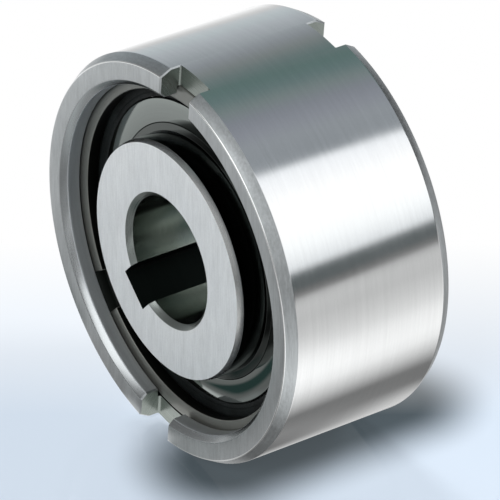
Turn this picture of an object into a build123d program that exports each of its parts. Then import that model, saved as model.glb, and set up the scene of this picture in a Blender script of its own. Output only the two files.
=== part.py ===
from build123d import *
import os
from math import cos, radians, sin, sqrt

# Bearing-supported sprag clutch, in millimetres.
# It lies with its axis along Y, front face towards -Y and +Z up.
# The origin is on the axis, halfway along the outer ring.
# The sizes below run outwards from the bore and inwards from each face.

# Inner ring
bore_diameter = 25.0
inner_ring_wall = 12.5
face_recess = 0.5  # inner ring face behind the outer ring face
nose_step = 1.5  # from the sleeve down to the nose at each end of it
nose_edge_chamfer = 0.2
bore_chamfer = 1.0
keyway_width = 8.0
keyway_depth = 3.3
keyway_angle = 226.7  # from +X towards +Z, seen from the front

# Outer ring
sprag_space = 8.33  # between the two sprag tracks
track_width = 9.2
seat_step = 0.67  # shoulder between the sprag track and a bearing seat
outer_wall = 6.0
edge_chamfer_length = 2.2
edge_chamfer_height = 1.25
mouth_chamfer = 1.2
slot_width = 9.0
slot_depth = 4.5
slot_angle = 84.0
slot_edge_chamfer = 0.35
slot_floor_fillet = 0.5

# Snap rings, which hold the bearings in
snap_ring_depth = 4.4  # from the outer ring's face to the snap ring
snap_ring_thickness = 2.5
snap_ring_width = 3.2
snap_ring_gap = 7.9
snap_ring_angles = {"front": 217.8, "rear": 38.0}
groove_depth = 1.75
groove_clearance = 0.35  # around the snap ring
groove_play = 0.1  # between the snap ring and the groove's wall beside the bearing
groove_front_play = 0.55  # between the snap ring and the groove's other wall

# Roller bearings
bearing_width = 7.0
inner_race_wall = 3.93
outer_race_wall = 1.03
rib_height = 0.87
rear_rib_width = 1.1
race_edge = 0.3
roller_count = 18
roller_clearance = 0.02
roller_end_clearance = 0.05
cage_gap = 0.4
cage_band = 0.6
pocket_clearance = 0.1
seal_recess = 0.3
seal_thickness = 0.65
seal_gap = 0.15

# Sprags, their two cages and their springs
sprag_count = 20
sprag_clearance = 0.02  # to each track, at rest
cam_offset = 0.9  # sideways from the sprag's middle to each cam's centre
outer_cam_radius = 4.4
inner_cam_radius = 4.0
sprag_head_width = 4.8
sprag_foot_width = 4.4
sprag_waist = 3.0
sprag_cage_wall = 0.6
sprag_cage_band = 0.8
sprag_cage_end_gap = 0.2
sprag_cage_offset = 1.6  # from each track to its cage
window_clearance = 0.1
window_side_gap = 0.3
drag_clearance = 0.05
spring_height = 0.8
spring_width = 0.7
spring_inset = 0.15
spring_clearance = 0.15
spring_tilt_room = 0.15
spring_gap = 1.5

# Radii that follow
bore_radius = bore_diameter / 2
inner_radius = bore_radius + inner_ring_wall
nose_radius = inner_radius - nose_step
track_radius = inner_radius + sprag_space
seat_radius = track_radius + seat_step
outer_radius = seat_radius + outer_wall
groove_radius = seat_radius + groove_depth
snap_outer_radius = groove_radius - groove_clearance
inner_raceway = inner_radius + inner_race_wall
rib_radius = inner_raceway + rib_height
outer_raceway = seat_radius - outer_race_wall
roller_radius = (outer_raceway - inner_raceway) / 2 - roller_clearance
roller_pitch_radius = (outer_raceway + inner_raceway) / 2
sprag_pivot_radius = (inner_radius + track_radius) / 2

# Places along the axis that follow, measured from the middle
track_end = track_width / 2
bearing_face = track_end + bearing_width
ring_face = bearing_face + snap_ring_thickness
half_length = ring_face + snap_ring_depth
inner_half_length = half_length - face_recess
seal_back = bearing_face - seal_recess - seal_thickness
cage_front = seal_back - seal_gap
roller_front = cage_front - cage_band - roller_end_clearance
roller_back = track_end + rear_rib_width + roller_end_clearance
cage_back = roller_back - roller_end_clearance - cage_band
sprag_cage_half = track_end - sprag_cage_end_gap
window_half = sprag_cage_half - sprag_cage_band
sprag_half = window_half - window_clearance
spring_face = sprag_half - spring_inset

ends = {"front": -1, "rear": 1}


def section(*points):
    """A closed outline in the plane through the axis: radius, then place along the axis."""
    with BuildSketch(Plane.XY) as outline:
        with BuildLine():
            Polyline(*points, close=True)
        make_face()
    return outline.sketch


def ring_section(inner, outer, start, stop, edge=0):
    """A rectangular ring section, with its four corners cut where an edge is given."""
    with BuildSketch(Plane.XY) as outline:
        with Locations(((inner + outer) / 2, (start + stop) / 2)):
            Rectangle(outer - inner, abs(stop - start))
        if edge > 0:
            chamfer(outline.vertices(), length=edge)
    return outline.sketch


def face_plane(place, angle=0.0):
    """A plane across the axis: local x points out at the angle, and it faces the front."""
    out = (cos(radians(angle)), 0, sin(radians(angle)))
    return Plane(origin=(0, place, 0), x_dir=out, z_dir=(0, -1, 0))


def finish(piece, name):
    piece.part.label = name
    export_step(piece.part, f"parts/{name}.step")


os.makedirs("parts", exist_ok=True)

# Outer ring: half of it is turned, mirrored, and slotted across both faces.
with BuildPart() as outer_ring:
    revolve(
        section(
            (track_radius, 0),
            (track_radius, track_end),
            (seat_radius, track_end),
            (seat_radius, bearing_face - groove_play),
            (groove_radius, bearing_face - groove_play),
            (groove_radius, ring_face + groove_front_play),
            (seat_radius, ring_face + groove_front_play),
            (seat_radius, half_length - mouth_chamfer),
            (seat_radius + mouth_chamfer, half_length),
            (outer_radius - edge_chamfer_height, half_length),
            (outer_radius, half_length - edge_chamfer_length),
            (outer_radius, 0),
        ),
        axis=Axis.Y,
    )
    mirror(about=Plane.XZ)
    out = (cos(radians(slot_angle)), 0, sin(radians(slot_angle)))
    across = (-sin(radians(slot_angle)), 0, cos(radians(slot_angle)))
    for side in ends.values():
        face_centre = (0, side * half_length, 0)
        with BuildSketch(Plane(origin=face_centre, x_dir=across, z_dir=out)):
            RectangleRounded(slot_width, 2 * slot_depth, slot_floor_fillet)
        extrude(amount=1.1 * outer_radius, both=True, mode=Mode.SUBTRACT)
    rim_edges = [
        edge
        for edge in outer_ring.edges().filter_by(GeomType.LINE)
        if abs(abs(edge.center().Y) - half_length) < 0.01
    ]
    chamfer(rim_edges, length=slot_edge_chamfer)
finish(outer_ring, "outer_ring")

# Inner ring: a sleeve with a keyed bore, and a narrower nose beyond each bearing.
with BuildPart() as inner_ring:
    revolve(
        section(
            (bore_radius, 0),
            (bore_radius, inner_half_length - bore_chamfer),
            (bore_radius + bore_chamfer, inner_half_length),
            (nose_radius - nose_edge_chamfer, inner_half_length),
            (nose_radius, inner_half_length - nose_edge_chamfer),
            (nose_radius, bearing_face),
            (inner_radius, bearing_face),
            (inner_radius, 0),
        ),
        axis=Axis.Y,
    )
    mirror(about=Plane.XZ)
    with BuildSketch(face_plane(0, keyway_angle)):
        with Locations(((bore_radius + keyway_depth) / 2, 0)):
            Rectangle(bore_radius + keyway_depth, keyway_width)
    extrude(amount=half_length, both=True, mode=Mode.SUBTRACT)
finish(inner_ring, "inner_ring")

for end, side in ends.items():
    # Snap ring: a plain split ring, in its groove against the bearing.
    with BuildPart() as snap_ring:
        revolve(
            ring_section(
                snap_outer_radius - snap_ring_width,
                snap_outer_radius,
                side * bearing_face,
                side * ring_face,
            ),
            axis=Axis.Y,
        )
        with BuildSketch(face_plane(0, snap_ring_angles[end])):
            with Locations((snap_outer_radius, 0)):
                Rectangle(3 * snap_ring_width, snap_ring_gap)
        extrude(amount=half_length, both=True, mode=Mode.SUBTRACT)
    finish(snap_ring, f"{end}_snap_ring")

    # Bearing: the inner race has the ribs, and the outer race is plain.
    with BuildPart() as outer_race:
        revolve(
            ring_section(outer_raceway, seat_radius, side * track_end, side * bearing_face),
            axis=Axis.Y,
        )
    finish(outer_race, f"{end}_bearing_outer_race")

    with BuildPart() as inner_race:
        revolve(
            ring_section(
                inner_radius, rib_radius, side * track_end, side * bearing_face, race_edge
            ),
            axis=Axis.Y,
        )
        revolve(
            ring_section(
                inner_raceway,
                rib_radius + rib_height,
                side * (roller_back - roller_end_clearance),
                side * (roller_front + roller_end_clearance),
            ),
            axis=Axis.Y,
            mode=Mode.SUBTRACT,
        )
    finish(inner_race, f"{end}_bearing_inner_race")

    with BuildPart() as rollers:
        with BuildSketch(face_plane(side * roller_front)):
            with PolarLocations(roller_pitch_radius, roller_count):
                Circle(roller_radius)
        extrude(amount=side * (roller_front - roller_back))
    finish(rollers, f"{end}_bearing_rollers")

    with BuildPart() as roller_cage:
        with BuildSketch(face_plane(side * cage_front)):
            Circle(outer_raceway - cage_gap)
            Circle(rib_radius + cage_gap, mode=Mode.SUBTRACT)
        extrude(amount=side * (cage_front - cage_back))
        with BuildSketch(face_plane(side * (cage_front - cage_band))):
            with PolarLocations(roller_pitch_radius, roller_count):
                Rectangle(2 * roller_radius, 2 * (roller_radius + pocket_clearance))
        extrude(
            amount=side * (cage_front - cage_back - 2 * cage_band), mode=Mode.SUBTRACT
        )
    finish(roller_cage, f"{end}_bearing_cage")

    with BuildPart() as seal:
        revolve(
            ring_section(
                rib_radius + seal_gap,
                outer_raceway,
                side * seal_back,
                side * (bearing_face - seal_recess),
            ),
            axis=Axis.Y,
        )
    finish(seal, f"{end}_bearing_seal")

    # Sprag spring: a split band that lies in the notches of the sprags' ends.
    with BuildPart() as spring:
        revolve(
            ring_section(
                sprag_pivot_radius - spring_height / 2,
                sprag_pivot_radius + spring_height / 2,
                side * (spring_face - spring_width),
                side * spring_face,
            ),
            axis=Axis.Y,
        )
        with BuildSketch(face_plane(0, 180 / sprag_count)):
            with Locations((sprag_pivot_radius, 0)):
                Rectangle(3 * spring_height, spring_gap)
        extrude(amount=side * track_end, mode=Mode.SUBTRACT, both=True)
    finish(spring, f"{end}_sprag_spring")

# Cages: the outer one has a rim at each end that drags on the outer track.
outer_cage_radius = track_radius - sprag_cage_offset
inner_cage_radius = inner_radius + sprag_cage_offset
with BuildPart() as outer_sprag_cage:
    revolve(
        ring_section(
            outer_cage_radius - sprag_cage_wall,
            track_radius - drag_clearance,
            -sprag_cage_half,
            sprag_cage_half,
        ),
        axis=Axis.Y,
    )
    revolve(
        ring_section(outer_cage_radius, track_radius, -window_half, window_half),
        axis=Axis.Y,
        mode=Mode.SUBTRACT,
    )
    with BuildSketch(Plane.XZ):
        with PolarLocations(outer_cage_radius, sprag_count):
            Rectangle(3 * sprag_cage_wall, sprag_head_width + 2 * window_side_gap)
    extrude(amount=window_half, both=True, mode=Mode.SUBTRACT)
finish(outer_sprag_cage, "outer_sprag_cage")

with BuildPart() as inner_sprag_cage:
    revolve(
        ring_section(
            inner_cage_radius,
            inner_cage_radius + sprag_cage_wall,
            -sprag_cage_half,
            sprag_cage_half,
        ),
        axis=Axis.Y,
    )
    with BuildSketch(Plane.XZ):
        with PolarLocations(inner_cage_radius, sprag_count):
            Rectangle(3 * sprag_cage_wall, sprag_foot_width + 2 * window_side_gap)
    extrude(amount=window_half, both=True, mode=Mode.SUBTRACT)
finish(inner_sprag_cage, "inner_sprag_cage")

# Sprags. Each has a cam towards each track. The cams' centres lie on opposite sides
# of its middle, so its height falls as it tilts and it comes off both tracks.
outer_cam_centre = sqrt(
    (track_radius - sprag_clearance - outer_cam_radius) ** 2 - cam_offset**2
)
inner_cam_centre = sqrt(
    (inner_radius + sprag_clearance + inner_cam_radius) ** 2 - cam_offset**2
)


def head_point(across):
    rise = sqrt(outer_cam_radius**2 - (across - cam_offset) ** 2)
    return (outer_cam_centre + rise, across)


def foot_point(across):
    rise = sqrt(inner_cam_radius**2 - (across + cam_offset) ** 2)
    return (inner_cam_centre - rise, across)


head_half = sprag_head_width / 2
foot_half = sprag_foot_width / 2
notch_height = spring_height + 2 * (spring_clearance + spring_tilt_room)
for number in range(sprag_count):
    sprag_angle = number * 360 / sprag_count
    with BuildPart() as sprag:
        with BuildSketch(face_plane(0, sprag_angle)):
            with BuildLine():
                ThreePointArc(head_point(-head_half), head_point(0), head_point(head_half))
                ThreePointArc(
                    head_point(head_half),
                    (sprag_pivot_radius, sprag_waist / 2),
                    foot_point(foot_half),
                )
                ThreePointArc(foot_point(foot_half), foot_point(0), foot_point(-foot_half))
                ThreePointArc(
                    foot_point(-foot_half),
                    (sprag_pivot_radius, -sprag_waist / 2),
                    head_point(-head_half),
                )
            make_face()
        extrude(amount=sprag_half, both=True)
        for side in ends.values():
            notch_floor = spring_face - spring_width - spring_clearance
            with BuildSketch(face_plane(side * notch_floor, sprag_angle)):
                with Locations((sprag_pivot_radius, 0)):
                    Rectangle(notch_height, sprag_head_width)
            extrude(amount=-side * track_end, mode=Mode.SUBTRACT)
    finish(sprag, f"sprag_{number + 1:02d}")
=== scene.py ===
from math import asin, cos, pi, radians, sin, sqrt, tau

import bpy
from bpy.props import FloatProperty, FloatVectorProperty, IntProperty, PointerProperty
from mathutils import Matrix, Vector


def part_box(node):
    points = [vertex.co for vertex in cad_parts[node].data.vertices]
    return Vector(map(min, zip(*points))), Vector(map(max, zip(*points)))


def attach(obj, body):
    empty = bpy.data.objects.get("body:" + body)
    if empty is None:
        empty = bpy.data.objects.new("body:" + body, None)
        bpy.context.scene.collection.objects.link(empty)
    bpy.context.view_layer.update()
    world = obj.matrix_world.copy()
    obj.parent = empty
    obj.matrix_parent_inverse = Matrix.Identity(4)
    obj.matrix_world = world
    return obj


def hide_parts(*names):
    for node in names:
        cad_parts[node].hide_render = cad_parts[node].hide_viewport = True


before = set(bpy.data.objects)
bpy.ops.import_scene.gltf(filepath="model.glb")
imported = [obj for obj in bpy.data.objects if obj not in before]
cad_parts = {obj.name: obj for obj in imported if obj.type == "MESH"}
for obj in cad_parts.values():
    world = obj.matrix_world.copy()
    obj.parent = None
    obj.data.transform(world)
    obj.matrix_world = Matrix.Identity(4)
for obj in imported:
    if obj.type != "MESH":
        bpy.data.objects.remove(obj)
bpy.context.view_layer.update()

bl_info = {
    "name": "Sprag clutch",
    "version": (1, 0, 0),
    "blender": (4, 5, 0),
    "location": "View3D > Sidebar > Clutch",
    "description": "Models the rings, races and seals of a bearing-supported sprag clutch",
    "category": "Object",
}

# The clutch's axis is Y. Its front face looks towards -Y, and +Z is up.
MM = 0.001
ENDS = {"front": -1, "rear": 1}
OUTER_BODY = "outer_assembly"
INNER_BODY = "inner_assembly"
# How far off a surface a vertex may lie and still count as on it
TOUCH = 0.02 * MM
NEAR = 0.05 * MM
# How close two vertices must lie to become one
MERGE = 0.001 * MM
# How deep the tool marks are in steel
MARK_DEPTH = 0.004 * MM
# How strongly the tent and the floor's painted light and shade glow in reflections
GLOW = 1.3
WHITE = (1.0, 1.0, 1.0, 1.0)


def extent(node):
    """The outer radius of a round node, and its places along the axis."""
    low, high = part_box(node)
    return max(high.x, -low.x, high.z, -low.z), low.y, high.y


OUTER_RADIUS, _, OUTER_HALF = extent("outer_ring")
INNER_RADIUS, _, INNER_HALF = extent("inner_ring")
SNAP_RADIUS, SNAP_BACK, SNAP_FACE = extent("rear_snap_ring")
RACE_RADIUS, RACE_BACK, RACE_FACE = extent("rear_bearing_inner_race")
SEAL_RADIUS, SEAL_BACK, SEAL_FACE = extent("rear_bearing_seal")
FLOOR = -OUTER_RADIUS


# ---------------------------------------------------------------- settings


def length(name, description, size):
    return FloatProperty(
        name=name,
        description=description,
        default=size * MM,
        min=0,
        precision=5,
        subtype="DISTANCE",
        unit="LENGTH",
    )


def colour(name, description, red, green, blue):
    return FloatVectorProperty(
        name=name,
        description=description,
        default=(red, green, blue),
        min=0,
        max=1,
        size=3,
        subtype="COLOR",
    )


def turn(name, description, angle):
    return FloatProperty(
        name=name,
        description=description,
        default=radians(angle),
        subtype="ANGLE",
        unit="ROTATION",
    )


class ClutchSizes(bpy.types.PropertyGroup):
    """Sizes of the shown pieces. Radii and places that the frame has come from the frame."""

    seat_radius: length("Seat radius", "Radius of the bearing seats in the outer ring", 34.0)
    track_radius: length("Track radius", "Radius of the outer sprag track", 33.33)
    track_width: length("Track width", "Width of the outer sprag track", 9.2)
    groove_radius: length("Groove radius", "Radius of the snap ring grooves", 35.75)
    groove_play: length("Groove play", "From a snap ring to its groove's inner wall", 0.1)
    groove_front_play: length("Groove front", "From a snap ring to its groove's outer wall", 0.55)
    rim_length: length("Rim chamfer length", "Outer chamfer, measured along the axis", 2.2)
    rim_height: length("Rim chamfer height", "Outer chamfer, measured across the axis", 1.25)
    mouth_chamfer: length("Mouth chamfer", "Chamfer from a bearing seat to a face", 1.2)
    slot_width: length("Slot width", "Width of the driving slots", 9.0)
    slot_depth: length("Slot depth", "Depth of the driving slots", 4.5)
    slot_floor: length("Slot floor radius", "Radius between a slot's walls and floor", 0.5)
    slot_edge: length("Slot edge", "Chamfer around a slot's mouth", 0.3)
    bore_radius: length("Bore radius", "Radius of the shaft bore", 12.5)
    bore_chamfer: length("Bore chamfer", "Chamfer at each end of the bore", 1.0)
    nose_radius: length("Nose radius", "Radius of the inner ring beyond its races", 23.5)
    nose_taper_height: length("Nose taper height", "Taper around a nose, across the axis", 0.4)
    nose_taper_length: length("Nose taper length", "Taper around a nose, along the axis", 1.2)
    keyway_width: length("Keyway width", "Width of the keyway", 8.0)
    keyway_depth: length("Keyway depth", "Depth of the keyway below the bore", 3.3)
    snap_width: length("Snap ring width", "Width of a snap ring across the axis", 3.2)
    snap_gap: length("Snap ring gap", "Gap between a snap ring's ends", 7.9)
    seal_bore: length("Seal bore", "Inner radius of the bearing seals", 29.95)
    seal_lip: length("Seal lip", "Width of the raised lip at a seal's bore", 0.7)
    seal_dish: length("Seal dish", "Depth of a seal's face behind its lip", 0.12)
    edge_round: length("Edge round", "Broken edge on the ground rings", 0.18)
    face_round: length("Face edge", "Broken edge on the inner ring", 0.08)
    race_round: length("Race edge", "Broken edge on the bearing races", 0.3)
    slot_angle: turn("Slot angle", "Slots' place from +X towards +Z", 84.0)
    keyway_angle: turn("Keyway angle", "Keyway's place from +X towards +Z", 226.7)
    front_gap: turn("Front gap", "Front snap ring gap, from +X towards +Z", 217.8)
    rear_gap: turn("Rear gap", "Rear snap ring gap, from +X towards +Z", 38.0)
    steps: IntProperty(
        name="Steps", description="Faces around each ring", default=360, min=24, max=1440
    )


class ClutchFinishes(bpy.types.PropertyGroup):
    """Colours of the finishes."""

    ground: colour("Ground steel", "Outside of the outer ring", 0.80, 0.81, 0.81)
    faced: colour("Faced steel", "Faces and chamfers of the outer ring", 0.44, 0.465, 0.475)
    # Lighter than the faces: a painted highlight on the rounded edges, on top of their real one
    edge: colour("Edge steel", "Bright edges of the outer ring", 0.80, 0.82, 0.82)
    milled: colour("Milled steel", "Driving slots", 0.26, 0.29, 0.27)
    sleeve: colour("Sleeve steel", "Faces of the inner ring", 0.66, 0.675, 0.67)
    bore: colour("Bore steel", "Bore of the inner ring", 0.51, 0.545, 0.515)
    # Near black: painted shade inside the keyway
    keyway: colour("Keyway steel", "Keyway of the inner ring", 0.012, 0.016, 0.015)
    spring: colour("Spring steel", "Snap rings and sprag springs", 0.17, 0.175, 0.16)
    # Darker than bare polished steel: painted shade of the recess that the races sit in
    race: colour("Race steel", "Inner races of the bearings", 0.24, 0.265, 0.255)
    roller: colour("Roller steel", "Bearing rollers, outer races and sprags", 0.62, 0.63, 0.63)
    cage: colour("Cage steel", "Bearing cages", 0.10, 0.10, 0.10)
    rubber: colour("Seal rubber", "Bearing seals", 0.004, 0.005, 0.005)


class ClutchStage(bpy.types.PropertyGroup):
    """The floor, the lamps and the camera."""

    floor: colour("Floor", "Floor around the clutch", 0.66, 0.75, 0.86)
    # The colour of the shadow painted into the floor close under the clutch
    shade: colour("Floor shade", "Floor close under the clutch", 0.070, 0.092, 0.107)
    right_power: FloatProperty(
        name="Right lamps", description="Strength of each right lamp", default=17.0, unit="POWER"
    )
    left_power: FloatProperty(
        name="Left lamp", description="Strength of the left lamp", default=20.0, unit="POWER"
    )
    room_light: FloatProperty(
        name="Room light", description="Strength of the light from all sides", default=0.14, min=0
    )
    camera_azimuth: turn("Camera azimuth", "Camera's turn about the vertical", 54.92)
    camera_elevation: turn("Camera elevation", "Camera's height over the floor", 30.35)
    camera_distance: length("Camera distance", "From the camera to its aim", 1007.6)
    camera_lens: FloatProperty(
        name="Lens", description="Focal length", default=391.2, min=1, unit="CAMERA"
    )


# ---------------------------------------------------------------- shader sums


class Value:
    """A node's output that sums can be written with."""

    def __init__(self, nodes, socket):
        self.nodes = nodes
        self.socket = socket

    def _sum(self, operation, *terms):
        return self.nodes.add("ShaderNodeMath", {"operation": operation}, dict(enumerate(terms)))

    def __add__(self, other):
        return self._sum("ADD", self, other)

    def __radd__(self, other):
        return self._sum("ADD", other, self)

    def __sub__(self, other):
        return self._sum("SUBTRACT", self, other)

    def __rsub__(self, other):
        return self._sum("SUBTRACT", other, self)

    def __mul__(self, other):
        return self._sum("MULTIPLY", self, other)

    def __rmul__(self, other):
        return self._sum("MULTIPLY", other, self)

    def __truediv__(self, other):
        return self._sum("DIVIDE", self, other)

    def __rtruediv__(self, other):
        return self._sum("DIVIDE", other, self)

    def __neg__(self):
        return self._sum("MULTIPLY", self, -1.0)

    def clamp(self):
        return self.ramp((0, 0), (1, 1))

    def ramp(self, start, stop):
        """A straight slope between two (place, value) points, held level beyond them."""
        settings = {"clamp": True}
        sockets = {0: self, 1: start[0], 2: stop[0], 3: start[1], 4: stop[1]}
        return self.nodes.add("ShaderNodeMapRange", settings, sockets)


class Nodes:
    """The node tree of a material or of the world."""

    def __init__(self, owner):
        owner.use_nodes = True
        self.tree = owner.node_tree
        self.tree.nodes.clear()

    def add(self, kind, settings=None, sockets=None, output=0):
        """Adds a node: its settings first, then values or links for its sockets."""
        node = self.tree.nodes.new(kind)
        for name, value in (settings or {}).items():
            if name == "stops":
                self._set_stops(node.color_ramp, value)
            else:
                setattr(node, name, value)
        for key, value in (sockets or {}).items():
            if isinstance(value, Value):
                self.tree.links.new(value.socket, node.inputs[key])
            else:
                node.inputs[key].default_value = value
        if not len(node.outputs):
            return None
        return Value(self, node.outputs[output])

    def _set_stops(self, ramp, stops):
        while len(ramp.elements) > 1:
            ramp.elements.remove(ramp.elements[0])
        for number, (place, tone) in enumerate(stops):
            element = ramp.elements[0] if number == 0 else ramp.elements.new(place)
            element.position = place
            element.color = (*tone, 1.0)

    def combine(self, x, y, z):
        return self.add("ShaderNodeCombineXYZ", None, {0: x, 1: y, 2: z})

    def noise(self, vector, scale, detail=2.0, roughness=0.5):
        sockets = {"Vector": vector, "Scale": scale, "Detail": detail, "Roughness": roughness}
        return self.add("ShaderNodeTexNoise", {"noise_dimensions": "3D"}, sockets)

    def mix(self, factor, first, second):
        """A colour between two colours."""
        sockets = {"Factor": factor, 6: first, 7: second}
        settings = {"data_type": "RGBA"}
        return self.add("ShaderNodeMix", settings, sockets, output=2)

    def length(self, first, second):
        """The length of a line with these two parts."""
        squares = first * first + second * second
        return self.add("ShaderNodeMath", {"operation": "SQRT"}, {0: squares})

    def place(self):
        """Object coordinates: the vector and its three parts."""
        vector = self.add("ShaderNodeTexCoord", output="Object")
        parts = [self.add("ShaderNodeSeparateXYZ", None, {0: vector}, output=n) for n in range(3)]
        return vector, parts

    def bump(self, height, distance, strength=1.0):
        sockets = {"Strength": strength, "Distance": distance, "Height": height}
        return self.add("ShaderNodeBump", None, sockets)

    def finish(self, shader):
        self.add("ShaderNodeOutputMaterial", None, {"Surface": shader})


def solid(tone):
    """A colour with its alpha."""
    return (*tone, 1.0)


def scaled(tone, factor):
    """A colour that is lighter or darker by a factor."""
    return tuple(min(1.0, part * factor) for part in tone)


def soft(value):
    """A slope from 0 to 1 with its ends eased."""
    return value * value * (3 - 2 * value)


def between(value, rise, full, fall, gone):
    """1 from full to fall, and 0 before rise and after gone."""
    return value.ramp((rise, 0), (full, 1)) * value.ramp((fall, 1), (gone, 0))


# ---------------------------------------------------------------- finishes


def turned_lay(nodes, x, y, z):
    """A coordinate that runs across the tool marks of every turned face, chamfer and bore."""
    slope = 1.7  # keeps the marks on chamfers, where radius and place along the axis both change
    return nodes.length(x, z) + y * slope


def steel(
    name, tone, roughness, marks=0.3, shade=0.12, bump=0.6, fine=1.0, straight=False, gloss=1.0
):
    """Machined steel: fine marks around the axis or straight up, and uneven polish.

    marks and shade say how far its roughness and its colour vary, bump how deep its marks
    are, fine how close together, and gloss how much it shines as bare metal.
    """
    material = bpy.data.materials.new(name)
    nodes = Nodes(material)
    vector, (x, y, z) = nodes.place()
    # Marks in a metre, along and across the way that the tool went
    if straight:
        along_marks = 240.0
        across_marks = 2600.0
        mark = nodes.combine(x * across_marks, y * across_marks, z * along_marks)
        band = nodes.combine(x * (across_marks * 0.2), y * across_marks, z * (along_marks * 0.4))
    else:
        along_marks = 60.0
        across_marks = 9000.0 * fine
        lay = turned_lay(nodes, x, y, z)
        mark = nodes.combine(x * along_marks, lay * across_marks, z * along_marks)
        band = nodes.combine(x * along_marks, lay * (across_marks * 0.08), z * along_marks)
    lines = nodes.noise(mark, 1.0, 3.0, 0.6)
    broad = nodes.noise(band, 1.0, 2.0)
    cloud = nodes.noise(vector, 140.0, 3.0)
    speck = nodes.noise(vector, 5200.0, 2.0, 0.7)
    tint = lines * 0.45 + broad * 0.25 + speck * 0.3
    dark = solid(scaled(tone, 1 - shade))
    light = solid(scaled(tone, 1 + shade))
    base = nodes.mix(tint.ramp((0.35, 0), (0.65, 1)), dark, light)
    polish = lines * 0.5 + cloud * 0.5
    rough = polish.ramp((0.3, roughness * (1 - marks)), (0.7, roughness * (1 + marks)))
    height = lines * 0.6 + speck * 0.4
    sockets = {
        "Base Color": base,
        "Metallic": gloss,
        "Roughness": rough,
        "Normal": nodes.bump(height, MARK_DEPTH * bump),
    }
    nodes.finish(nodes.add("ShaderNodeBsdfPrincipled", None, sockets))
    return material


def rubber(name, tone):
    """Moulded rubber with a faint dusty bloom."""
    material = bpy.data.materials.new(name)
    nodes = Nodes(material)
    vector, _ = nodes.place()
    grain = nodes.noise(vector, 2600.0, 3.0)
    bloom = nodes.noise(vector, 160.0, 2.0)
    base = nodes.mix(bloom.ramp((0.4, 0), (0.7, 1)), solid(tone), solid(scaled(tone, 2.2)))
    sockets = {
        "Base Color": base,
        "Roughness": grain.ramp((0.3, 0.5), (0.7, 0.7)),
        "Specular IOR Level": 0.2,
        "Normal": nodes.bump(grain, 0.03 * MM, 0.6),
    }
    nodes.finish(nodes.add("ShaderNodeBsdfPrincipled", None, sockets))
    return material


# ---------------------------------------------------------------- modelling


def deselect():
    """Leaves edit mode, and leaves nothing selected."""
    if bpy.context.mode != "OBJECT":
        bpy.ops.object.mode_set(mode="OBJECT")
    bpy.ops.object.select_all(action="DESELECT")


def pick(piece):
    """Makes the piece the only selected one, and the active one."""
    deselect()
    piece.select_set(True)
    bpy.context.view_layer.objects.active = piece


def edit(piece, kind="VERT"):
    """Opens the piece in edit mode with nothing selected."""
    pick(piece)
    bpy.ops.object.mode_set(mode="EDIT")
    bpy.ops.mesh.select_mode(type=kind)
    bpy.ops.mesh.select_all(action="DESELECT")


def select_where(piece, items, test):
    """Selects the vertices, edges or faces of an open piece that pass the test."""
    bpy.ops.object.mode_set(mode="OBJECT")
    for item in getattr(piece.data, items):
        item.select = test(item)
    bpy.ops.object.mode_set(mode="EDIT")


def drawn(name, corners, closed=True):
    """A line in the XY plane, drawn from corner to corner by extruding one vertex."""
    deselect()
    bpy.ops.mesh.primitive_plane_add(size=MM)
    piece = bpy.context.object
    piece.name = piece.data.name = name
    bpy.ops.object.mode_set(mode="EDIT")
    bpy.ops.mesh.select_mode(type="VERT")
    bpy.ops.mesh.select_all(action="SELECT")
    bpy.ops.mesh.merge(type="CENTER")
    stops = [Vector((*corner, 0)) if len(corner) == 2 else Vector(corner) for corner in corners]
    here = stops[0]
    bpy.ops.transform.translate(value=here)
    for stop in stops[1:] + (stops[:1] if closed else []):
        bpy.ops.mesh.extrude_region_move(TRANSFORM_OT_translate={"value": stop - here})
        here = stop
    if closed:
        tidy_mesh(piece, normals=False)
        bpy.ops.object.mode_set(mode="EDIT")
        bpy.ops.mesh.select_all(action="SELECT")
        bpy.ops.mesh.edge_face_add()
    bpy.ops.object.mode_set(mode="OBJECT")
    return piece


def tidy_mesh(piece, normals=True):
    """Merges doubles, and turns the faces outwards."""
    edit(piece)
    bpy.ops.mesh.select_all(action="SELECT")
    bpy.ops.mesh.remove_doubles(threshold=MERGE)
    if normals:
        bpy.ops.mesh.normals_make_consistent(inside=False)
    bpy.ops.object.mode_set(mode="OBJECT")


def turned(name, corners, round_size, steps):
    """A ring turned from a closed outline of (radius, place along the axis) corners."""
    piece = drawn(name, corners)
    edit(piece)
    bpy.ops.mesh.select_all(action="SELECT")
    bpy.ops.mesh.bevel(offset=round_size, segments=3, affect="VERTICES")
    bpy.ops.mesh.select_all(action="SELECT")
    bpy.ops.mesh.delete(type="ONLY_FACE")
    bpy.ops.mesh.select_all(action="SELECT")
    bpy.ops.mesh.spin(steps=steps, angle=tau, center=(0, 0, 0), axis=(0, 1, 0))
    tidy_mesh(piece)
    return piece


def modify(piece, kind, **settings):
    """Adds a modifier and applies it."""
    pick(piece)
    modifier = piece.modifiers.new(kind.lower(), kind)
    for name, value in settings.items():
        setattr(modifier, name, value)
    bpy.ops.object.modifier_apply(modifier=modifier.name)


def cut(piece, cutter):
    """Takes the cutter out of the piece."""
    modify(piece, "BOOLEAN", operation="DIFFERENCE", solver="EXACT", object=cutter)
    bpy.data.objects.remove(cutter)


def lay(piece, x_axis, y_axis):
    """Turns a piece about the origin so that its X and Y point along the given ways."""
    x_axis = Vector(x_axis)
    y_axis = Vector(y_axis)
    z_axis = x_axis.cross(y_axis)
    pick(piece)
    piece.matrix_world = Matrix((x_axis, y_axis, z_axis)).transposed().to_4x4()
    bpy.ops.object.transform_apply(location=True, rotation=True, scale=True)


def from_axis(place):
    """How far a vertex lies from the clutch's axis."""
    return Vector((place.x, place.z)).length


def outwards(angle):
    """The way that points out from the axis at an angle from +X towards +Z."""
    return (cos(angle), 0, sin(angle))


def along(angle):
    """The way around the axis at that angle."""
    return (-sin(angle), 0, cos(angle))


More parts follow.
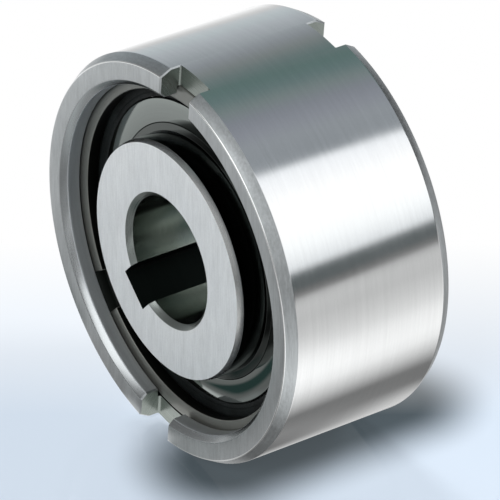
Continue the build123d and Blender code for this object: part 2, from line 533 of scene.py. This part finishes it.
def rod(piece, size):
    """Makes a drawn line a four-sided rod that cuts a chamfer along an edge."""
    pick(piece)
    bpy.ops.object.convert(target="CURVE")
    curve = bpy.context.object.data
    curve.dimensions = "3D"
    curve.twist_mode = "Z_UP"
    curve.bevel_depth = size
    curve.bevel_resolution = 0
    curve.use_fill_caps = True
    bpy.ops.object.convert(target="MESH")
    piece = bpy.context.object
    tidy_mesh(piece)
    return piece


def block(name, low, high):
    """A box between two corners."""
    deselect()
    low = Vector(low)
    high = Vector(high)
    bpy.ops.mesh.primitive_cube_add(size=1, location=(low + high) / 2, scale=high - low)
    piece = bpy.context.object
    piece.name = piece.data.name = name
    bpy.ops.object.transform_apply(location=True, rotation=True, scale=True)
    return piece


def smooth(piece):
    """Shades the piece smooth, and leaves its sharp edges sharp."""
    pick(piece)
    bpy.ops.object.shade_smooth_by_angle(angle=radians(30))


def finish_where(piece, material, test):
    """Gives the faces whose vertices all pass the test a finish of their own."""
    piece.data.materials.append(material)
    edit(piece, "FACE")
    corners = piece.data.vertices
    select_where(
        piece, "polygons", lambda face: all(test(corners[index].co) for index in face.vertices)
    )
    piece.active_material_index = len(piece.data.materials) - 1
    bpy.ops.object.material_slot_assign()
    bpy.ops.object.mode_set(mode="OBJECT")


def settle(piece, material, body, slot, *nodes):
    """Gives a finished piece its material and its body, and hides the CAD nodes that it stands
    for.
    """
    piece.data.materials.clear()
    piece.data.materials.append(material)
    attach(piece, body)
    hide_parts(*nodes)


def mirrored(corners):
    """An outline of a half, from the middle outwards, with its mirror image across the middle."""
    return corners + [(radius, -place) for radius, place in reversed(corners)]


# ---------------------------------------------------------------- the pieces


class CLUTCH_OT_outer_ring(bpy.types.Operator):
    """Turns the outer ring and cuts its driving slots"""

    bl_idname = "clutch.outer_ring"
    bl_label = "Outer ring"

    def execute(self, context):
        sizes = context.scene.clutch_sizes
        tones = context.scene.clutch_finishes
        seat = sizes.seat_radius
        inner_half = [
            (sizes.track_radius, sizes.track_width / 2),
            (seat, sizes.track_width / 2),
            (seat, SNAP_BACK - sizes.groove_play),
            (sizes.groove_radius, SNAP_BACK - sizes.groove_play),
            (sizes.groove_radius, SNAP_FACE + sizes.groove_front_play),
            (seat, SNAP_FACE + sizes.groove_front_play),
            (seat, OUTER_HALF - sizes.mouth_chamfer),
            (seat + sizes.mouth_chamfer, OUTER_HALF),
            (OUTER_RADIUS - sizes.rim_height, OUTER_HALF),
            (OUTER_RADIUS, OUTER_HALF - sizes.rim_length),
        ]
        ring = turned("outer_ring_steel", mirrored(inner_half), sizes.edge_round, sizes.steps)
        cut(ring, self.slot_bars(sizes))
        cut(ring, self.slot_edges(sizes, seat))
        tidy_mesh(ring, normals=False)
        smooth(ring)
        faced = steel("faced_steel", tones.faced, 0.38, shade=0.2, bump=1.5, straight=True)
        ground = steel("ground_steel", tones.ground, 0.13, marks=0.2, shade=0.05, bump=0.35)
        milled = steel("milled_steel", tones.milled, 0.30, shade=0.15)
        # The rounded face edges get a lighter tone: a painted highlight besides their real one
        edge = steel("edge_steel", tones.edge, 0.18, shade=0.05)
        chamfered = steel("chamfer_steel", scaled(tones.faced, 0.92), 0.24, shade=0.08)
        # Near-black walls and floor in the snap ring grooves: painted shade
        painted_groove_shade = steel("groove_steel", scaled(tones.milled, 0.2), 0.45, shade=0.15)
        seated = steel("seat_steel", tones.faced, 0.38, shade=0.12, gloss=0.75)
        settle(ring, faced, OUTER_BODY, "ground_steel", "outer_ring")
        finish_where(ring, chamfered, lambda place: self.is_on_mouth_chamfer(place, sizes))
        finish_where(ring, seated, lambda place: self.is_on_seat(place, sizes))
        finish_where(ring, painted_groove_shade, lambda place: self.is_in_groove(place, sizes))
        finish_where(ring, milled, lambda place: self.is_in_slot(place, sizes))
        finish_where(ring, ground, self.is_outside)
        finish_where(ring, edge, lambda place: self.is_on_edge(place, sizes))
        return {"FINISHED"}

    def is_outside(self, place):
        return from_axis(place) > OUTER_RADIUS - NEAR

    def is_on_mouth_chamfer(self, place, sizes):
        slack = 0.5 * sizes.edge_round
        return from_axis(place) < sizes.seat_radius + sizes.mouth_chamfer + slack and (
            abs(place.y) > OUTER_HALF - sizes.mouth_chamfer - slack
        )

    def is_on_seat(self, place, sizes):
        """Whether a vertex lies in the bore, between a groove and the mouth chamfer."""
        return from_axis(place) < sizes.seat_radius + sizes.edge_round and (
            abs(place.y) > SNAP_FACE + sizes.groove_front_play - TOUCH
        )

    def is_in_groove(self, place, sizes):
        """Whether a vertex lies on a wall or the floor of a snap ring's groove."""
        radius = from_axis(place)
        return sizes.seat_radius - TOUCH < radius < sizes.groove_radius + TOUCH and (
            abs(place.y) < SNAP_FACE + sizes.groove_front_play + TOUCH
        )

    def is_on_edge(self, place, sizes):
        """Whether a vertex lies on the rounded edge between a face and its rim chamfer."""
        slack = 1.1 * sizes.edge_round
        return abs(from_axis(place) - OUTER_RADIUS + sizes.rim_height) < slack and (
            abs(place.y) > OUTER_HALF - slack
        )

    def is_in_slot(self, place, sizes):
        """Whether a vertex lies on the walls or the floor of a slot."""
        side = Vector(along(sizes.slot_angle))
        return abs(place.dot(side)) < sizes.slot_width / 2 + TOUCH and (
            abs(place.y) > OUTER_HALF - sizes.slot_depth - TOUCH
        )

    def slot_bars(self, sizes):
        """Two bars right across the ring, one at each face, with rounded lower corners."""
        half = sizes.slot_width / 2
        floor = OUTER_HALF - sizes.slot_depth
        top = OUTER_HALF + sizes.slot_depth
        length = 1.1 * OUTER_RADIUS
        bars = block("slot_bars", (-length, floor, -half), (length, top, half))
        edit(bars, "EDGE")

        def is_floor_edge(edge):
            ends = [bars.data.vertices[index].co for index in edge.vertices]
            return all(abs(end.y - floor) < NEAR for end in ends) and (
                abs(ends[0].x - ends[1].x) > length
            )

        select_where(bars, "edges", is_floor_edge)
        bpy.ops.mesh.bevel(offset=sizes.slot_floor, segments=4)
        bpy.ops.object.mode_set(mode="OBJECT")
        modify(bars, "MIRROR", use_axis=(False, True, False))
        self.turn_to_slots(bars, sizes)
        return bars

    def slot_edges(self, sizes, seat):
        """Rods along the slots' edges, modelled at one wall and mirrored to the other seven."""
        half = sizes.slot_width / 2

        def level(radius):
            return sqrt(radius**2 - half**2)

        floor = OUTER_HALF - sizes.slot_depth
        corners = [
            (level(seat), floor),
            (level(seat), OUTER_HALF - sizes.mouth_chamfer),
            (level(seat + sizes.mouth_chamfer), OUTER_HALF),
            (level(OUTER_RADIUS - sizes.rim_height), OUTER_HALF),
            (level(OUTER_RADIUS), OUTER_HALF - sizes.rim_length),
            (level(OUTER_RADIUS), floor),
        ]
        path = drawn("slot_edges", [(x, y, half) for x, y in corners], closed=False)
        rods = rod(path, sizes.slot_edge)
        modify(rods, "MIRROR", use_axis=(True, True, True), use_mirror_merge=False)
        tidy_mesh(rods)
        self.turn_to_slots(rods, sizes)
        return rods

    def turn_to_slots(self, cutter, sizes):
        """Turns a cutter that points along X to the slots' own angle."""
        lay(cutter, outwards(sizes.slot_angle), (0, 1, 0))


class CLUTCH_OT_inner_ring(bpy.types.Operator):
    """Turns the inner ring and cuts its keyway"""

    bl_idname = "clutch.inner_ring"
    bl_label = "Inner ring"

    def execute(self, context):
        sizes = context.scene.clutch_sizes
        tones = context.scene.clutch_finishes
        half = [
            (sizes.bore_radius, INNER_HALF - sizes.bore_chamfer),
            (sizes.bore_radius + sizes.bore_chamfer, INNER_HALF),
            (sizes.nose_radius - sizes.nose_taper_height, INNER_HALF),
            (sizes.nose_radius, INNER_HALF - sizes.nose_taper_length),
            (sizes.nose_radius, RACE_FACE),
            (INNER_RADIUS, RACE_FACE),
        ]
        outline = mirrored(half[::-1])[::-1]
        ring = turned("inner_ring_steel", outline, sizes.face_round, sizes.steps)
        cut(ring, self.key_bar(sizes))
        tidy_mesh(ring, normals=False)
        smooth(ring)
        brushed = steel(
            "brushed_steel", tones.sleeve, 0.48, shade=0.13, bump=1.0, straight=True, gloss=0.5
        )
        # The noses and shoulders beside the races are darkened to a third of the race tone:
        # painted shade
        polished = steel("nose_steel", scaled(tones.race, 0.35), 0.12, shade=0.05, bump=0.25)
        bored = steel("bored_steel", tones.bore, 0.16, shade=0.10)
        # The keyway's near-black colour is painted shade
        painted_keyway_shade = steel("keyway_steel", tones.keyway, 0.5, shade=0.15)
        broken = steel("bore_edge_steel", tones.race, 0.30, shade=0.06)
        tapered = steel("taper_steel", scaled(tones.sleeve, 0.6), 0.25, shade=0.08, gloss=0.9)
        settle(ring, brushed, INNER_BODY, "brushed_steel", "inner_ring")
        finish_where(ring, polished, lambda place: self.is_beside_race(place, sizes))
        finish_where(ring, tapered, lambda place: self.is_on_taper(place, sizes))
        finish_where(ring, broken, lambda place: self.is_at_mouth(place, sizes))
        finish_where(ring, painted_keyway_shade, lambda place: self.is_in_keyway(place, sizes))
        finish_where(ring, bored, lambda place: self.is_in_bore(place, sizes))
        return {"FINISHED"}

    def is_beside_race(self, place, sizes):
        """Whether a vertex lies on a nose or on the shoulder beside a race."""
        return from_axis(place) > sizes.nose_radius - TOUCH

    def is_on_taper(self, place, sizes):
        """Whether a vertex lies on the taper around a nose."""
        slack = 0.75 * sizes.face_round
        return from_axis(place) > sizes.nose_radius - sizes.nose_taper_height - slack and (
            abs(place.y) > INNER_HALF - sizes.nose_taper_length - slack
        )

    def is_at_mouth(self, place, sizes):
        """Whether a vertex lies on the chamfer at an end of the bore."""
        return from_axis(place) < sizes.bore_radius + sizes.bore_chamfer + NEAR and (
            abs(place.y) > INNER_HALF - sizes.bore_chamfer - NEAR
        )

    def is_in_keyway(self, place, sizes):
        """Whether a vertex lies on a wall or the floor of the keyway."""
        out = Vector(outwards(sizes.keyway_angle))
        side = Vector(along(sizes.keyway_angle))
        return 0 < place.dot(out) < sizes.bore_radius + sizes.keyway_depth + TOUCH and (
            abs(place.dot(side)) < sizes.keyway_width / 2 + TOUCH
        )

    def is_in_bore(self, place, sizes):
        return from_axis(place) < sizes.bore_radius + TOUCH

    def key_bar(self, sizes):
        """A bar from the axis to the keyway's floor, as long as the outer ring."""
        half = sizes.keyway_width / 2
        floor = sizes.bore_radius + sizes.keyway_depth
        bar = block("key_bar", (0, -OUTER_HALF, -half), (floor, OUTER_HALF, half))
        lay(bar, outwards(sizes.keyway_angle), (0, 1, 0))
        return bar


class CLUTCH_OT_snap_rings(bpy.types.Operator):
    """Bends the two split snap rings"""

    bl_idname = "clutch.snap_rings"
    bl_label = "Snap rings"

    def execute(self, context):
        sizes = context.scene.clutch_sizes
        tones = context.scene.clutch_finishes
        material = steel("spring_steel", tones.spring, 0.34, shade=0.15, fine=0.5, gloss=0.6)
        # The snap rings' inner faces turn near black: painted shade
        painted_bore_shade = steel("blackened_steel", scaled(tones.spring, 0.12), 0.45, shade=0.15)
        gaps = {"front": sizes.front_gap, "rear": sizes.rear_gap}
        for end, side in ENDS.items():
            ring = self.split_ring(f"{end}_snap_ring_steel", sizes, gaps[end], side)
            settle(ring, material, OUTER_BODY, "spring_steel", f"{end}_snap_ring")
            finish_where(ring, painted_bore_shade, lambda place: self.is_in_bore(place, sizes))
        return {"FINISHED"}

    def is_in_bore(self, place, sizes):
        return from_axis(place) < SNAP_RADIUS - sizes.snap_width + NEAR

    def split_ring(self, name, sizes, gap_angle, side):
        """A ring spun from one side of its gap to the other, with its edges rounded."""
        inner = SNAP_RADIUS - sizes.snap_width
        low, high = sorted((side * SNAP_BACK, side * SNAP_FACE))
        corners = [(inner, low), (SNAP_RADIUS, low), (SNAP_RADIUS, high), (inner, high)]
        ring = drawn(name, corners)
        half_gap = asin(sizes.snap_gap / (inner + SNAP_RADIUS))
        start = gap_angle + half_gap
        lay(ring, outwards(start), (0, 1, 0))
        edit(ring)
        bpy.ops.mesh.select_all(action="SELECT")
        sweep = tau - 2 * half_gap
        bpy.ops.mesh.spin(steps=sizes.steps, angle=sweep, center=(0, 0, 0), axis=(0, 1, 0))
        tidy_mesh(ring)
        modify(
            ring,
            "BEVEL",
            width=sizes.edge_round * 1.5,
            segments=3,
            limit_method="ANGLE",
            angle_limit=radians(40),
        )
        smooth(ring)
        return ring


class CLUTCH_OT_races(bpy.types.Operator):
    """Turns the two bearing inner races, whose faces show beside the inner ring"""

    bl_idname = "clutch.races"
    bl_label = "Bearing inner races"

    def execute(self, context):
        sizes = context.scene.clutch_sizes
        tones = context.scene.clutch_finishes
        # The races' dark tone is painted shade of their recess
        material = steel("polished_steel", tones.race, 0.07, shade=0.05, bump=0.25)
        for end, side in ENDS.items():
            low, high = sorted((side * RACE_BACK, side * RACE_FACE))
            corners = [
                (INNER_RADIUS, low),
                (RACE_RADIUS, low),
                (RACE_RADIUS, high),
                (INNER_RADIUS, high),
            ]
            race = turned(f"{end}_race_steel", corners, sizes.race_round, sizes.steps)
            smooth(race)
            settle(race, material, INNER_BODY, "polished_steel", f"{end}_bearing_inner_race")
        return {"FINISHED"}


class CLUTCH_OT_seals(bpy.types.Operator):
    """Moulds the two bearing seals with their lips"""

    bl_idname = "clutch.seals"
    bl_label = "Bearing seals"

    def execute(self, context):
        sizes = context.scene.clutch_sizes
        tones = context.scene.clutch_finishes
        material = rubber("seal_rubber", tones.rubber)
        for end, side in ENDS.items():
            back = side * SEAL_BACK
            face = side * SEAL_FACE
            dish = side * (SEAL_FACE - sizes.seal_dish)
            corners = [
                (sizes.seal_bore, back),
                (SEAL_RADIUS, back),
                (SEAL_RADIUS, dish),
                (sizes.seal_bore + 1.5 * sizes.seal_lip, dish),
                (sizes.seal_bore + sizes.seal_lip, face),
                (sizes.seal_bore, face),
            ]
            seal = turned(f"{end}_seal_rubber", corners, sizes.edge_round / 2, sizes.steps)
            smooth(seal)
            settle(seal, material, OUTER_BODY, "seal_rubber", f"{end}_bearing_seal")
        return {"FINISHED"}


class CLUTCH_OT_works(bpy.types.Operator):
    """Finishes the pieces inside the clutch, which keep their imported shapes"""

    bl_idname = "clutch.works"
    bl_label = "Rollers, sprags, cages and springs"

    def execute(self, context):
        tones = context.scene.clutch_finishes
        polished = steel("roller_steel", tones.roller, 0.10, shade=0.05, bump=0.3)
        sprag = steel("sprag_steel", tones.roller, 0.18, shade=0.08, bump=0.5)
        spring = steel("band_steel", tones.spring, 0.30, shade=0.10)
        pressed = steel("pressed_steel", tones.cage, 0.35, shade=0.12)
        cage = steel("cage_strip", tones.faced, 0.30, shade=0.10)
        finishes = {
            "outer_race": polished,
            "rollers": polished,
            "bearing_cage": pressed,
            "sprag_cage": cage,
            "sprag_spring": spring,
            "sprag_": sprag,
        }
        for name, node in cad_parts.items():
            for word, material in finishes.items():
                if word in name:
                    for slot in node.material_slots:
                        slot.material = material
                    break
        return {"FINISHED"}


# ---------------------------------------------------------------- the stage


FLOOR_SIZE = 12.0
FLOOR_SHINE = 0.55  # the share of the floor's colour that needs no lamp
FLOOR_GLOSS = 1.35  # the index of its Fresnel sheen
# The painted shadow, a dark patch in the floor's colour under the clutch, follows a line: its
# place to the right, and its ends
PAINTED_SHADOW_RIGHT = 12 * MM
PAINTED_SHADOW_FRONT = -13 * MM
PAINTED_SHADOW_REAR = 25 * MM
PAINTED_SHADOW_FULL = 6 * MM
PAINTED_SHADOW_GONE = 22 * MM
# The floor is white beyond a distance from the middle, and soon behind it
WHITE_START = 100 * MM
WHITE_FULL = 200 * MM
WHITE_BEHIND = 65 * MM
WHITE_WAY = (-0.818, 0.575)  # leftwards and rearwards, away from the camera
TENT_RADIUS = 1.8
TENT_HALF = 3.0
PANEL = (1.7, 1.7, 1.7)
LAMP_DISTANCE = 1.5
LAMP_SIZE = 0.5
CAMERA_AIM = (8.26 * MM, -4.74 * MM, 1.97 * MM)  # beside the clutch's middle
# Millimetres to the right of the middle, and the painted light and shade that reflections show of
# the floor there
FLOOR_FRONT = [
    (-1000, 0.50),
    (-540, 0.55),
    (-275, 0.70),
    (-184, 0.80),
    (-150, 0.74),
    (-120, 0.66),
    (-100, 0.62),
    (-60, 0.48),
    (-30, 0.37),
    (-10, 0.26),
    (5, 0.25),
    (10, 0.44),
    (15, 0.55),
    (18, 0.36),
    (21, 0.18),
    (24, 0.12),
    (27, 0.26),
    (31, 0.22),
    (35, 0.12),
    (39, 0.15),
    (44, 0.38),
    (50, 0.66),
    (58, 0.92),
    (70, 0.97),
    (79, 0.94),
    (96, 0.82),
    (122, 0.57),
    (168, 0.47),
    (274, 0.50),
    (450, 0.44),
    (600, 0.16),
    (1000, 0.12),
]
FLOOR_REAR = [
    (-1000, 0.50),
    (-540, 0.55),
    (-275, 0.72),
    (-184, 0.86),
    (-137, 0.90),
    (-100, 0.70),
    (-30, 0.40),
    (5, 0.30),
    (12, 0.45),
    (18, 0.65),
    (21, 0.65),
    (24, 0.50),
    (27, 0.31),
    (31, 0.16),
    (35, 0.12),
    (39, 0.15),
    (44, 0.38),
    (50, 0.66),
    (58, 0.88),
    (67, 0.86),
    (79, 0.80),
    (96, 0.64),
    (122, 0.54),
    (168, 0.47),
    (274, 0.50),
    (450, 0.44),
    (600, 0.16),
    (1000, 0.12),
]
# Patches of painted light and shade on the floor that reflections show: where each rises, is full,
# falls and is gone, in millimetres to the right and to the rear, and its colour
FLOOR_PATCHES = [
    ((-60, -52, -16, 0), (-60, -54, -44, -38), (0.58, 0.60, 0.60)),
    ((-3, 0, 9, 13), (-30, -27, -20, -17), (0.38, 0.39, 0.39)),
    ((-85, -70, -50, -43), (-34, -28, 20, 45), (0.18, 0.20, 0.20)),
    ((-17, -14, -7, -3), (-43, -39, -26, -23), (0.045, 0.085, 0.08)),
    ((-20, -16, -2, 1), (-22, -20, -12, -9), (0.9, 0.9, 0.9)),
]
# The tent's colours behind the clutch, at degrees from +X towards +Z
TENT_REAR = [
    (-8, (0.085, 0.097, 0.100)),
    (6.5, (0.085, 0.097, 0.100)),
    (9.5, (0.72, 0.74, 0.76)),
    (20, (0.92, 0.94, 0.95)),
    (28, (0.98, 0.98, 0.98)),
    (44, (0.98, 0.98, 0.98)),
    (52, (0.90, 0.91, 0.93)),
    (59, (0.86, 0.88, 0.91)),
    (62.5, (0.22, 0.24, 0.26)),
    (76, (0.248, 0.268, 0.289)),
    (84, (0.226, 0.240, 0.272)),
    (92, (0.194, 0.208, 0.237)),
    (100, (0.162, 0.197, 0.197)),
    (108, (0.110, 0.159, 0.159)),
    (116, (0.091, 0.144, 0.136)),
    (124, (0.120, 0.159, 0.159)),
    (132, (0.174, 0.194, 0.194)),
    (140, (0.222, 0.240, 0.260)),
    (148, (0.285, 0.311, 0.329)),
    (160, (0.358, 0.382, 0.408)),
    (172, (0.417, 0.461, 0.478)),
    (182, (0.470, 0.490, 0.510)),
    (212, (0.50, 0.52, 0.54)),
]
# Its colours in front of the clutch
TENT_FRONT = [
    (-8, (0.30,) * 3),
    (5, (0.40,) * 3),
    (20, (0.52,) * 3),
    (36, (0.56,) * 3),
    (64, (0.56,) * 3),
    (92, (0.43,) * 3),
    (118, (0.28,) * 3),
    (144, (0.19,) * 3),
    (167, (0.24,) * 3),
    (182, (0.32,) * 3),
]


class CLUTCH_OT_stage(bpy.types.Operator):
    """Sets up the floor, the lamps, the reflecting tent and the camera"""

    bl_idname = "clutch.stage"
    bl_label = "Stage"

    def execute(self, context):
        stage = context.scene.clutch_stage
        context.scene.view_settings.view_transform = "Standard"
        self.floor(stage)
        self.tent()
        self.lamps(stage)
        self.world(context.scene, stage)
        self.camera(context.scene, stage)
        return {"FINISHED"}

    def floor(self, stage):
        """A glossy pale floor with a painted shadow, dark close under the clutch, fading to white
        behind it.
        """
        deselect()
        bpy.ops.mesh.primitive_plane_add(size=FLOOR_SIZE, location=(0, 0, FLOOR))
        floor = bpy.context.object
        floor.name = "floor"
        bpy.ops.object.transform_apply(location=True)
        material = bpy.data.materials.new("floor")
        nodes = Nodes(material)
        _, (x, y, _) = nodes.place()
        # How far a place is from the line under the clutch that is closest to it
        aside = x - PAINTED_SHADOW_RIGHT
        rear = y - y.ramp((PAINTED_SHADOW_FRONT, PAINTED_SHADOW_FRONT), (PAINTED_SHADOW_REAR, PAINTED_SHADOW_REAR))
        # A painted shadow: the floor's colour turns to the shade colour close to that line
        close = soft(nodes.length(aside, rear).ramp((PAINTED_SHADOW_FULL, 1), (PAINTED_SHADOW_GONE, 0)))
        colour = nodes.mix(close, solid(stage.floor), solid(stage.shade))
        camera = nodes.add("ShaderNodeLightPath", output="Is Camera Ray")
        through = nodes.add("ShaderNodeLightPath", output="Is Transmission Ray")
        mirrored = nodes.add("ShaderNodeLightPath", output="Is Glossy Ray")
        seen = (camera + through).clamp()
        matt = nodes.add("ShaderNodeBsdfDiffuse", None, {"Color": colour})
        plain = nodes.add("ShaderNodeEmission", None, {"Color": colour, "Strength": 1.0})
        cover = nodes.add("ShaderNodeMixShader", None, {0: seen * FLOOR_SHINE, 1: matt, 2: plain})
        gloss = nodes.add("ShaderNodeBsdfGlossy", None, {"Color": WHITE, "Roughness": 0.02})
        sheen = nodes.add("ShaderNodeFresnel", None, {"IOR": FLOOR_GLOSS})
        surface = nodes.add("ShaderNodeMixShader", None, {0: sheen * seen, 1: cover, 2: gloss})
        behind = x * WHITE_WAY[0] + y * WHITE_WAY[1]
        near = soft(nodes.length(x, y).ramp((WHITE_START, 1), (WHITE_FULL, 0)))
        near = near * behind.ramp((0, 1), (WHITE_BEHIND, 0))
        white = nodes.add("ShaderNodeEmission", None, {"Color": WHITE, "Strength": 1.0})
        faded = nodes.add(
            "ShaderNodeMixShader", None, {0: (1 - near) * seen, 1: surface, 2: white}
        )
        # Reflections see the floor glow with painted light and shade instead of its lit colour
        painted_floor_glow = nodes.add(
            "ShaderNodeEmission", None, {"Color": self.painted_floor_light(nodes, x, y), "Strength": GLOW}
        )
        nodes.finish(nodes.add("ShaderNodeMixShader", None, {0: mirrored, 1: faded, 2: painted_floor_glow}))
        floor.data.materials.append(material)

    def painted_floor_light(self, nodes, x, y):
        """Painted light and shade that the floor glows with in reflections: bands that run front
        to rear, and patches.
        """
        start = -1.0
        span = 2.0
        across = (x - start) / span
        ramps = []
        for tones in (FLOOR_FRONT, FLOOR_REAR):
            stops = [((place * MM - start) / span, (tone, tone, tone)) for place, tone in tones]
            ramps.append(nodes.add("ShaderNodeValToRGB", {"stops": stops}, {0: across}))
        floor = nodes.mix(y.ramp((-0.008, 0), (0.03, 1)), *ramps)
        for right, rearward, tone in FLOOR_PATCHES:
            patch = between(x, *[place * MM for place in right])
            patch = patch * between(y, *[place * MM for place in rearward])
            floor = nodes.mix(patch, floor, solid(tone))
        return floor

    def tent(self):
        """A tunnel around the axis that only reflections see, with a white panel in front."""
        deselect()
        bpy.ops.mesh.primitive_cylinder_add(
            vertices=96, radius=TENT_RADIUS, depth=2 * TENT_HALF, rotation=(pi / 2, 0, 0)
        )
        tent = bpy.context.object
        tent.name = "tent"
        bpy.ops.object.transform_apply(location=True, rotation=True, scale=True)
        material = bpy.data.materials.new("tent")
        nodes = Nodes(material)
        _, (x, y, z) = nodes.place()
        start = -10
        span = 230
        angle = nodes.add("ShaderNodeMath", {"operation": "ARCTAN2"}, {0: z, 1: x}) * (180 / pi)
        angle = nodes.add(
            "ShaderNodeMath", {"operation": "WRAP"}, {0: angle, 1: 360 + start, 2: start}
        )
        across = (angle - start) / span
        ramps = []
        for tones in (TENT_REAR, TENT_FRONT):
            stops = [((place - start) / span, tone) for place, tone in tones]
            ramps.append(nodes.add("ShaderNodeValToRGB", {"stops": stops}, {0: across}))
        tone = nodes.mix(y.ramp((-0.45, 1), (0.1, 0)), *ramps)
        # The two ends
        edge = TENT_HALF - 0.02
        tone = nodes.mix((-y).ramp((edge, 0), (edge + 0.01, 1)), tone, solid((0.2, 0.2, 0.2)))
        tone = nodes.mix(y.ramp((edge, 0), (edge + 0.01, 1)), tone, solid((0.1, 0.1, 0.1)))
        # A white panel over the front end, from its right side to its top
        top = y.ramp((-1.35, 1), (-1.20, 0)) * angle.ramp((60, 0), (64, 1))
        side = y.ramp((-1.95, 1), (-1.85, 0)) * angle.ramp((27, 0), (32, 1))
        panel = (top + side).clamp() * angle.ramp((110, 1), (118, 0))
        panel = panel * nodes.length(x, z).ramp((1.1, 0), (1.3, 1))
        tone = nodes.mix(panel, tone, solid(PANEL))
        light = nodes.add("ShaderNodeEmission", None, {"Color": tone, "Strength": GLOW})
        nodes.finish(light)
        tent.data.materials.append(material)
        tent.visible_camera = False
        tent.visible_diffuse = False
        tent.visible_transmission = False
        tent.visible_shadow = False

    def lamps(self, stage):
        """Soft lamps at the right front, right rear and left, which stay out of reflections."""
        # Each lamp's name, its way from the clutch, and its strength
        for name, way, power in (
            ("right_front_lamp", (0.48, -0.66, 0.58), stage.right_power),
            ("right_rear_lamp", (0.25, 0.80, 0.54), stage.right_power),
            ("left_lamp", (-0.88, 0.12, 0.45), stage.left_power),
        ):
            way = Vector(way).normalized()
            lamp = bpy.data.lights.new(name, "AREA")
            lamp.shape = "DISK"
            lamp.size = LAMP_SIZE
            lamp.energy = power
            holder = bpy.data.objects.new(name, lamp)
            holder.location = way * LAMP_DISTANCE
            holder.rotation_euler = way.to_track_quat("Z", "Y").to_euler()
            holder.visible_glossy = False
            bpy.context.scene.collection.objects.link(holder)

    def world(self, scene, stage):
        """A dim room that looks white."""
        world = bpy.data.worlds.new("room")
        scene.world = world
        nodes = Nodes(world)
        camera = nodes.add("ShaderNodeLightPath", output="Is Camera Ray")
        glossy = nodes.add("ShaderNodeLightPath", output="Is Glossy Ray")
        transmission = nodes.add("ShaderNodeLightPath", output="Is Transmission Ray")
        shown = (camera + glossy + transmission).clamp()
        room = nodes.add(
            "ShaderNodeBackground", None, {"Color": WHITE, "Strength": stage.room_light}
        )
        back = nodes.add("ShaderNodeBackground", None, {"Color": WHITE, "Strength": 1.0})
        both = nodes.add("ShaderNodeMixShader", None, {0: shown, 1: room, 2: back})
        nodes.add("ShaderNodeOutputWorld", None, {"Surface": both})

    def camera(self, scene, stage):
        """A long lens at the clutch's right front, a little above it."""
        aim = Vector(CAMERA_AIM)
        level = cos(stage.camera_elevation)
        back = Vector(
            (
                sin(stage.camera_azimuth) * level,
                -cos(stage.camera_azimuth) * level,
                sin(stage.camera_elevation),
            )
        )
        data = bpy.data.cameras.new("camera")
        data.lens = stage.camera_lens
        data.sensor_width = 36
        data.clip_start = 0.05
        data.clip_end = 30
        camera = bpy.data.objects.new("camera", data)
        camera.location = aim + back * stage.camera_distance
        camera.rotation_euler = back.to_track_quat("Z", "Y").to_euler()
        scene.collection.objects.link(camera)
        scene.camera = camera


class CLUTCH_PT_panel(bpy.types.Panel):
    """Lists the pieces and the stage"""

    bl_label = "Sprag clutch"
    bl_idname = "CLUTCH_PT_panel"
    bl_space_type = "VIEW_3D"
    bl_region_type = "UI"
    bl_category = "Clutch"

    def draw(self, context):
        for operator in OPERATORS:
            self.layout.operator(operator.bl_idname)


GROUPS = {
    "clutch_sizes": ClutchSizes,
    "clutch_finishes": ClutchFinishes,
    "clutch_stage": ClutchStage,
}
OPERATORS = (
    CLUTCH_OT_stage,
    CLUTCH_OT_outer_ring,
    CLUTCH_OT_inner_ring,
    CLUTCH_OT_snap_rings,
    CLUTCH_OT_races,
    CLUTCH_OT_seals,
    CLUTCH_OT_works,
)


def register():
    for name, group in GROUPS.items():
        bpy.utils.register_class(group)
        setattr(bpy.types.Scene, name, PointerProperty(type=group))
    for operator in OPERATORS:
        bpy.utils.register_class(operator)
    bpy.utils.register_class(CLUTCH_PT_panel)


def unregister():
    bpy.utils.unregister_class(CLUTCH_PT_panel)
    for operator in reversed(OPERATORS):
        bpy.utils.unregister_class(operator)
    for name, group in reversed(GROUPS.items()):
        delattr(bpy.types.Scene, name)
        bpy.utils.unregister_class(group)


def main():
    register()
    bpy.ops.clutch.stage()
    bpy.ops.clutch.outer_ring()
    bpy.ops.clutch.inner_ring()
    bpy.ops.clutch.snap_rings()
    bpy.ops.clutch.races()
    bpy.ops.clutch.seals()
    bpy.ops.clutch.works()


if __name__ == "__main__":
    main()
